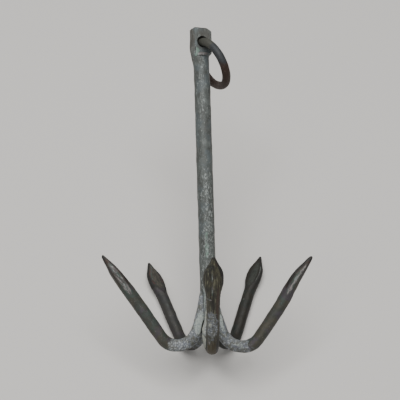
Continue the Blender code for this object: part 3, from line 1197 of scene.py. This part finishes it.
    def scarf_section(self, along: float) -> Section:
        """Ring of the scarf, as wide as its neighbours leave room for.

        Args:
            along: distance from the scarf's top.

        Returns:
            The ring.
        """
        length = self.scarf_length - self.plan.rise
        low, high = self.scarf_scales
        depth = self.bar * (low + (high - low) * min(along / length, 1.0))
        sine = math.sin(self.scarf_half_angle)
        reach = np.interp(along, self.passed(), [place[0] for place in self.path])
        room = (reach * sine) ** 2 - (depth * sine) ** 2
        width = min(depth, math.sqrt(max(room, 0.0)) / math.cos(self.scarf_half_angle))
        side = -self.plan.sway * ease((along - length + self.sway_run) / self.sway_run)
        return Section(along, self.plan.slim * width, depth, depth, side)

    def sections(self) -> list[Section]:
        """Divide the straight blank into scarf, shaft and fluke.

        Returns:
            All its rings.
        """
        plan = self.plan
        total = self.total
        scarf_end = self.scarf_length - plan.rise
        bend = scarf_end + self.inner_bend_radius * (QUARTER - self.root_lean)
        count = round(scarf_end / self.ring_spacing)
        top = self.scarf_section(0.0)
        rings = [
            Section(along, share * top.half_width, share * top.inner, share * top.back)
            for along, share in self.cap
        ]
        rings += [self.scarf_section(scarf_end * index / count) for index in range(1, count + 1)]
        shaft_end = total - self.fluke[-1][0]
        count = round((shaft_end - scarf_end) / self.ring_spacing)
        for index in range(1, count):
            along = scarf_end + (shaft_end - scarf_end) * index / count
            back_in = ease((bend - along) / (bend - scarf_end))
            width = self.bar * (1.0 + (plan.slim - 1.0) * back_in)
            rings.append(Section(along, width, self.bar, self.bar, -plan.sway * back_in))
        for from_tip, width, inner, back in reversed(self.fluke):
            near = max(1.0 - from_tip / self.tip_shift_reach, 0.0)
            along = total - from_tip + plan.tip_out * near
            rings.append(Section(along, width, inner, back, plan.tip_side * near * near))
        return rings

    def flats(self) -> list[Flat]:
        """Lay out the palm, shallow or sunk to a V-shaped heel, and facets along a worn edge.

        Returns:
            The flats.
        """
        tip, knee, apex = self.total, self.total - self.knee, self.total - self.heel
        if self.plan.deep_palm:
            low, middle, high = self.sunk
            slope, steep = (middle - low) / self.knee, (high - middle) / (self.heel - self.knee)
            flats = [Flat((tip, low, 0.0), (slope, 1.0, 0.0), knee)]
            point, normal = (knee, middle, 0.0), (steep, 1.0, 0.0)
            flats.append(Flat(point, normal, apex, knee, 1, apex, self.heel_spread))
        else:
            slope = (self.bar - self.plan.palm) / self.palm_run
            flats = [Flat((tip, self.plan.palm, 0.0), (slope, 1.0, 0.0), tip - self.palm_end)]
        start, middle = tip - self.hone_start, tip - self.hone_middle
        for side in self.plan.honed:
            point = (middle, 0.0, side * self.hone_side)
            flats.append(Flat(point, (-0.02, -0.28, side * 0.96), start, middle, 2))
            flats.append(Flat(point, (0.26, -0.28, side * 0.92), middle, tip, 2))
        return flats

    def start(self) -> None:
        """Draw out the straight blank."""
        self.path = self.centreline()
        self.draw_out(self.plan.node + "_forged", self.sections(), self.segments)

    def shape(self) -> None:
        """Hammer the palm and hone the fluke."""
        if self.plan.deep_palm:
            self.score(self.total - self.heel, self.heel_spread, self.total - self.knee)
        for flat in self.flats():
            self.press(flat)

    def paint(self, coat: Coat) -> None:
        """Lay painted shade along both sides, the plan's strokes, and a painted shadow line along the
        palm's heel.

        Args:
            coat: the arm's coat.
        """
        facing = self.plan.facing
        # painted shade: the two sides at right angles to the facing side are darkened
        sides = [Patch(190, facing + turn, 90, 3.2, 0.52) for turn in self.shaded_sides]
        coat.lay({Mask.SHADE: sides})
        coat.lay(self.plan.strokes)
        if self.plan.deep_palm:
            along, depth, across = coat.points.T
            from_apex = along - self.total + self.heel
            off = np.abs(np.abs(across) - self.heel_spread * from_apex)
            low, high = self.heel_shade_span
            on_palm = (depth > 0.0) & (from_apex > low) & (from_apex < high)
            # painted shadow along the step at the V-shaped heel of the sunk palm
            coat.blend(Mask.SHADE, smooth(1.2 - off / 0.0011) * on_palm, 0.85)

    def set_down(self) -> tuple[Matrix, Finish]:
        """Bend the straight blank round its centreline, and choose its place and finish.

        Returns:
            The placement and the finish.
        """
        data = bpy.data.curves.new("centreline", "CURVE")
        data.dimensions = "2D"
        spline = data.splines.new("POLY")
        spline.points.add(len(self.path) - 1)
        for point, (reach, height) in zip(spline.points, self.path):
            point.co = (reach, height, 0.0, 1.0)
        former = bpy.data.objects.new("former", data)
        bpy.context.scene.collection.objects.link(former)
        self.apply("CURVE", object=former, deform_axis="POS_X")
        bpy.data.objects.remove(former)
        bpy.data.curves.remove(data)
        upright = Matrix(((1, 0, 0, 0), (0, 0, -1, 0), (0, 1, 0, 0), (0, 0, 0, 1)))
        turn = Matrix.Rotation(math.radians(self.plan.azimuth), 4, "Z")
        return RestPose().matrix() @ turn @ upright, self.plan.finish


# Shank and ring

SHANK_COAT: Strokes = {
    Mask.CRUST: (Band(-50, 62, 30, 0.7),),
    # a narrow pale line beside the front arm's scarf: pale crust, partly a painted highlight
    Mask.SALT: (Patch(70, -47, 24, 2.0),),
    Mask.PATINA: (
        Patch(148, -22, 26, 3.4, 0.66), Patch(160, -35, 60, 9, 0.45), Patch(428, -49, 7, 2.8, 1.1),
    ),
    Mask.RUST: (Patch(425, 0, 3.0, 9, 1.0),),
    # the two long patches down the shank are painted shade on its sides; the head's patches are brown
    # stains
    Mask.WORN: (
        Patch(442, -84, 26, 6, 1.0), Patch(448, 10, 22, 16, 0.62), Patch(240, -120, 240, 4.5, 0.7),
        Patch(240, 62, 240, 4.0, 0.55),
    ),
    Mask.SPECK: (
        Patch(110, -40, 45, 8, 1.1), Patch(170, -10, 95, 10, 1.2), Patch(345, -20, 26, 6, 0.7),
        Patch(384, -24, 12, 6, 0.75), Patch(409, -2, 11, 5, 1.15), Patch(430, -76, 12, 4, 1.5),
    ),
    Mask.SEAM: (Patch(421.2, -2, 1.0, 10),),
    # painted shade in the ledge's groove, in the crease by the left bevel and under the ring, and a
    # dark edge along the top; the left bevel is darkened too
    Mask.SHADE: (
        Patch(421.2, -2, 0.9, 10, 0.62), Patch(431, -57, 7, 0.7, 0.8), Patch(446, -80, 18, 4, 0.52),
        Patch(430, 62, 12, 2.5, 0.58), Band(462.5, 480, 2, 0.58),
    ),
}


@dataclass
class Shank(Forging):
    """The shank: round bar with a swelled, flattened and pierced head.

    The bar lies along +X; +Y is the near cheek's side, +Z the right-hand side. Rows of the
    crown are distance below the top and share of the head's size; rows of the chamfers are
    side, drop and run; rows of the punch are its distance from the cheek and its flare.
    """

    bar: float = 0.0116
    foot: float = 0.0225
    foot_rings: tuple[tuple[float, float], ...] = ((0.0, 0.55), (0.0012, 0.86))
    top: float = 0.4645
    head: float = 0.0154
    crown: tuple[tuple[float, float], ...] = ((0.0018, 1.0), (0.0004, 0.98), (0.0, 0.90))
    swell_start: float = 0.404
    swell_end: float = 0.434
    shoulder_start: float = 0.4234
    shoulder_end: float = 0.4274
    brow: float = 0.0028
    brow_height: float = 0.0130
    brow_run: float = 0.004
    belly: float = 0.0013
    belly_start: float = 0.406
    belly_rise: float = 0.028
    belly_end: float = 0.463
    belly_fall: float = 0.024
    neck: float = 0.0109
    neck_start: float = 0.385
    neck_run: float = 0.02
    thickness: float = 0.0144
    flat_foot: float = 0.4292
    brim: float = 0.0012
    brim_reach: float = 0.004
    bevel_side: float = -0.0103
    bevel_normal: tuple[float, float, float] = (0.0, 0.73, -0.69)
    bevel_lead: float = 0.008
    chamfers: tuple[tuple[float, float, float], ...] = ((1.0, 0.0062, 0.0098), (-1.0, 0.0026, 0.0050))
    chamfer_reach: float = 0.01
    eye_height: float = 0.4435
    eye: float = 0.0071
    mouth: float = 0.0083
    mouth_depth: float = 0.0018
    punch: tuple[tuple[float, float], ...] = ((0.0, 0.0), (0.0014, 0.0012), (0.0108, 0.004))
    eye_shade_reach: float = 0.0100
    eye_turn: float = math.radians(-72.0)
    segments: int = 16
    levels: int = 3
    first_ring: float = 0.0045
    last_gap: float = 0.006
    ring_spacing: float = 0.0066
    head_spacing: float = 0.0022
    reliefs: tuple[Relief, ...] = (
        Relief(Grain.CLOUDS, 0.0008, 0.020, octaves=1),
        Relief(Grain.KNOBS, 0.0004, 0.0090, stretch=1.6),
        Relief(Grain.CLOUDS, 0.00040, 0.0040, stretch=2.0),
        Relief(Grain.CLOUDS, 0.0009, 0.0034, mask=Mask.CRUST, octaves=4),
        Relief(Grain.PLAIN, -0.0004, mask=Mask.SEAM),
    )

    def section(self, height: float) -> Section:
        """A ring of the body: a long swell on the left, a shoulder on the right.

        Args:
            height: where it stands above the anchor's lowest plane.

        Returns:
            The ring.
        """
        swell = ease((height - self.swell_start) / (self.swell_end - self.swell_start))
        belly = self.belly * (
            ease((height - self.belly_start) / self.belly_rise)
            * ease((self.belly_end - height) / self.belly_fall)
        )
        necked = self.bar + (self.neck - self.bar) * ease((height - self.neck_start) / self.neck_run)
        length = self.shoulder_end - self.shoulder_start
        shoulder = ease((height - self.shoulder_start) / length)
        brow = ease((height - self.shoulder_start + self.brow) / length)
        above = (self.head - self.brow_height) * ease((height - self.flat_foot) / self.brow_run)
        left = self.bar + (self.head - self.bar) * swell + belly
        right = necked + (self.head - necked) * shoulder
        near = necked + (self.brow_height - necked) * brow + above
        far = self.bar + (self.brow_height - self.bar) * swell + above
        return Section(height, 0.5 * (left + right), near, far, 0.5 * (right - left))

    def sections(self) -> list[Section]:
        """Divide the shank from foot to top, closer together at the shoulder.

        Returns:
            All its rings.
        """
        rings = [Section.round(self.foot + up, share * self.bar) for up, share in self.foot_rings]
        height = self.foot + self.first_ring
        rings.append(self.section(height))
        while height < self.top - self.last_gap:
            crowded = self.shoulder_start - 0.010 < height < self.shoulder_end + 0.004
            height += self.head_spacing if crowded else self.ring_spacing
            rings.append(self.section(height))
        return rings + [Section.round(self.top - drop, part * self.head) for drop, part in self.crown]

    def flats(self) -> list[Flat]:
        """Lay out cheeks with ramps at their feet, a bevelled corner and the top's chamfers.

        Returns:
            The flats.
        """
        half, foot, top = 0.5 * self.thickness, self.flat_foot, self.top
        flats = []
        for side in (1.0, -1.0):
            ramp, brim = (1.0, side, 0.0), (top - self.brim, side * half, 0.0)
            flats.append(Flat((foot, side * half, 0.0), (0.0, side, 0.0), foot))
            flats.append(Flat((foot, side * half, 0.0), ramp, 0.0, foot, 2))
            flats.append(Flat(brim, ramp, top - self.brim_reach))
        bevel = (foot, half, self.bevel_side)
        flats.append(Flat(bevel, self.bevel_normal, foot - self.bevel_lead, 1.0, 2))
        for side, drop, run in self.chamfers:
            corner, normal = (top - drop, 0.0, side * self.head), (run, 0.0, side * drop)
            flats.append(Flat(corner, normal, top - self.chamfer_reach, 1.0, 3))
        return flats

    def start(self) -> None:
        """Draw out the straight blank."""
        self.draw_out("shank_forged", self.sections(), self.segments)

    def shape(self) -> None:
        """Hammer the head's flats, then cut the eye with its worn near mouth."""
        for flat in self.flats():
            self.press(flat)
        half = 0.5 * self.thickness
        rings = [Section.round(place, self.eye) for place in (-2.5 * half, half - self.mouth_depth)]
        rings += [Section.round(half + off, self.mouth + flare) for off, flare in self.punch]
        punch = Forging()
        punch.draw_out("punch", rings, 48)
        quarter = Matrix.Rotation(QUARTER, 4, "Z")
        punch.item.data.transform(Matrix.Translation((self.eye_height, 0.0, 0.0)) @ quarter)
        self.apply("BOOLEAN", operation="DIFFERENCE", solver="EXACT", object=punch.item)
        bpy.data.objects.remove(punch.item)

    def paint(self, coat: Coat) -> None:
        """Paint the shank's strokes, and painted shade in its eye.

        Args:
            coat: the shank's coat.
        """
        coat.lay(SHANK_COAT)
        along, depth, across = coat.points.T
        from_eye = np.hypot(along - self.eye_height, across)
        deep = smooth((0.5 * self.thickness - 0.0004 - np.abs(depth)) / 0.0012)
        # painted shade inside the eye's bore, round the ring's bar
        coat.blend(Mask.SHADE, smooth((self.eye_shade_reach - from_eye) / 0.001) * deep)

    def set_down(self) -> tuple[Matrix, Finish]:
        """Turn the shank upright, its near cheek to its side.

        Returns:
            The placement and the finish.
        """
        cheek = Vector((math.cos(self.eye_turn), math.sin(self.eye_turn), 0.0))
        up = Vector((0.0, 0.0, 1.0))
        upright = Matrix((up, cheek, up.cross(cheek))).transposed().to_4x4()
        return RestPose().matrix() @ upright, ZincFinish()


@dataclass
class Ring(Forging):
    """The ring: round bar bent and welded into a circle, hanging in the eye.

    Its zones are in degrees round the ring, from the eye.
    """

    radius: float = 0.0343
    bar: float = 0.0060
    sag: float = 0.0003
    olive_end: float = 72.0
    olive_ease: float = 32.0
    brown_start: float = 78.0
    brown_ease: float = 50.0
    bulge_middle: float = 246.0
    bulge_reach: float = 58.0
    around: int = 48
    segments: int = 12
    levels: int = 2

    reliefs: tuple[Relief, ...] = (
        Relief(Grain.PLAIN, -0.0032, mask=Mask.BULGE, way="X"),
        Relief(Grain.PLAIN, -0.0015, mask=Mask.BULGE, way="Z"),
        Relief(Grain.CLOUDS, 0.0006, 0.014, octaves=1),
        Relief(Grain.CLOUDS, 0.0003, 0.0030),
        Relief(Grain.PLAIN, 0.0012, mask=Mask.UPSET),
    )

    def start(self) -> None:
        """Turn up a closed circle of bar."""
        self.take()
        bpy.ops.mesh.primitive_torus_add(
            major_segments=self.around,
            minor_segments=self.segments,
            major_radius=self.radius,
            minor_radius=self.bar * self.swell(self.segments),
        )
        self.item = bpy.context.object
        self.item.name = self.item.data.name = "ring_forged"
        self.rings = [Section.round(0.0, 1.0)]

    def shape(self) -> None:
        """Hang the circle below the hinge, with the hinge along X."""
        drop = Matrix.Translation((0.0, 0.0, -self.radius - self.sag))
        self.item.data.transform(drop @ Matrix.Rotation(QUARTER, 4, "X"))

    def paint(self, coat: Coat) -> None:
        """Paint the ring by how far round it lies from the eye.

        Args:
            coat: the ring's coat.
        """
        side, _, down = coat.points.T
        down = down + self.radius + self.sag
        turn = np.degrees(np.arctan2(side, down)) % 360.0
        from_eye = np.minimum(turn, 360.0 - turn)
        inward = self.radius - np.hypot(side, down)
        far = smooth((0.0015 - side) / 0.002) * smooth((side + 0.0115) / 0.003)
        masks = {
            Mask.PATINA: smooth((self.olive_end - from_eye) / self.olive_ease),
            Mask.RUST: smooth((from_eye - self.brown_start) / self.brown_ease),
            # painted highlight flecks on the ring's inner lower edge
            Mask.SPECK: smooth((inward - 0.001) / 0.003) * smooth((turn - 140.0) / 20.0),
            Mask.BULGE: smooth(1.0 - np.abs(turn - self.bulge_middle) / self.bulge_reach),
            Mask.UPSET: far * smooth((0.0015 - inward) / 0.004) * (from_eye < 90.0),
        }
        for mask, values in masks.items():
            coat.blend(mask, values)

    def set_down(self) -> tuple[Matrix, Finish]:
        """Hang the ring on its joint, straight down.

        Returns:
            The placement and the finish.
        """
        joint = frame["joints"][0]
        hinge = Vector(joint["axis"]).normalized()
        gravity = Vector((0.0, 0.0, -1.0))
        down = (gravity - hinge * gravity.dot(hinge)).normalized()
        turn = Matrix((hinge, hinge.cross(down), -down)).transposed().to_4x4()
        return Matrix.Translation(joint["pos_m"]) @ turn, RingFinish()


# The stage and the order of work


@dataclass(frozen=True)
class Stage:
    """Floor, soft lights and the camera."""

    target: tuple[float, float, float] = (-0.0066, -0.0164, 0.1691)
    azimuth: float = math.radians(-4.0334)
    elevation: float = math.radians(55.4207)
    roll: float = math.radians(2.0826)
    distance: float = 1.19512
    focal: float = 76.83
    sensor: float = 36.0

    def camera(self) -> None:
        """Add the camera."""
        data = bpy.data.cameras.new("camera")
        data.lens = self.focal
        data.sensor_width = self.sensor
        data.clip_end = 20.0
        item = bpy.data.objects.new("camera", data)
        bpy.context.scene.collection.objects.link(item)
        flat, high = math.cos(self.elevation), math.sin(self.elevation)
        back = Vector((math.sin(self.azimuth) * flat, -math.cos(self.azimuth) * flat, high))
        level = Vector((math.cos(self.azimuth), math.sin(self.azimuth), 0.0))
        right = level * math.cos(self.roll) + back.cross(level) * math.sin(self.roll)
        turn = Matrix((right, back.cross(right), back)).transposed().to_4x4()
        item.matrix_world = Matrix.Translation(Vector(self.target) + back * self.distance) @ turn
        bpy.context.scene.camera = item

    @staticmethod
    def softbox(name: str, place: tuple[float, float, float], size: float, power: float) -> None:
        """Add a square area light that faces the anchor.

        Args:
            name: its name.
            place: where it hangs.
            size: its side.
            power: its power in watts.
        """
        data = bpy.data.lights.new(name, "AREA")
        data.size = size
        data.energy = power
        item = bpy.data.objects.new(name, data)
        item.location = place
        aim = Vector((0.0, 0.0, 0.1)) - Vector(place)
        item.rotation_euler = aim.to_track_quat("-Z", "Y").to_euler()
        bpy.context.scene.collection.objects.link(item)

    def make(self) -> None:
        """Set the stage."""
        Forging.take()
        bpy.ops.mesh.primitive_plane_add(size=12.0)
        floor = bpy.context.object
        floor.name = "floor"
        floor.data.materials.append(FloorFinish().make())
        world = bpy.data.worlds.new("studio")
        world.use_nodes = True
        sky = world.node_tree.nodes["Background"]
        sky.inputs["Color"].default_value = (0.95, 0.97, 1.0, 1.0)
        sky.inputs["Strength"].default_value = 0.30
        bpy.context.scene.world = world
        self.softbox("overhead", (-0.15, 0.15, 3.6), 2.6, 150.0)
        self.softbox("fill", (-1.8, -2.1, 2.4), 1.6, 17.0)
        self.camera()


def hand_over(item: bpy.types.Object, body: Body, node: str) -> None:
    """Tell the frame what a piece rides on and stands for.

    Args:
        item: the piece.
        body: the body it moves with.
        node: the solid that it replaces.
    """
    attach(item, body.value)
    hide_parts(node)
    LOG.info("%s: %d faces", item.name, len(item.data.polygons))


def main() -> None:
    """Build the anchor and its stage."""
    logging.basicConfig(level=logging.INFO, format="%(name)s %(message)s")
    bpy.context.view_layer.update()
    Stage().make()
    hand_over(Shank().make(), Body.ANCHOR, "shank")
    for plan in (FRONT, RIGHT, BACK_RIGHT, BACK_LEFT, LEFT):
        hand_over(Arm(plan).make(), Body.ANCHOR, plan.node)
    hand_over(Ring().make(), Body.RING, "ring")


if __name__ == "__main__":
    main()
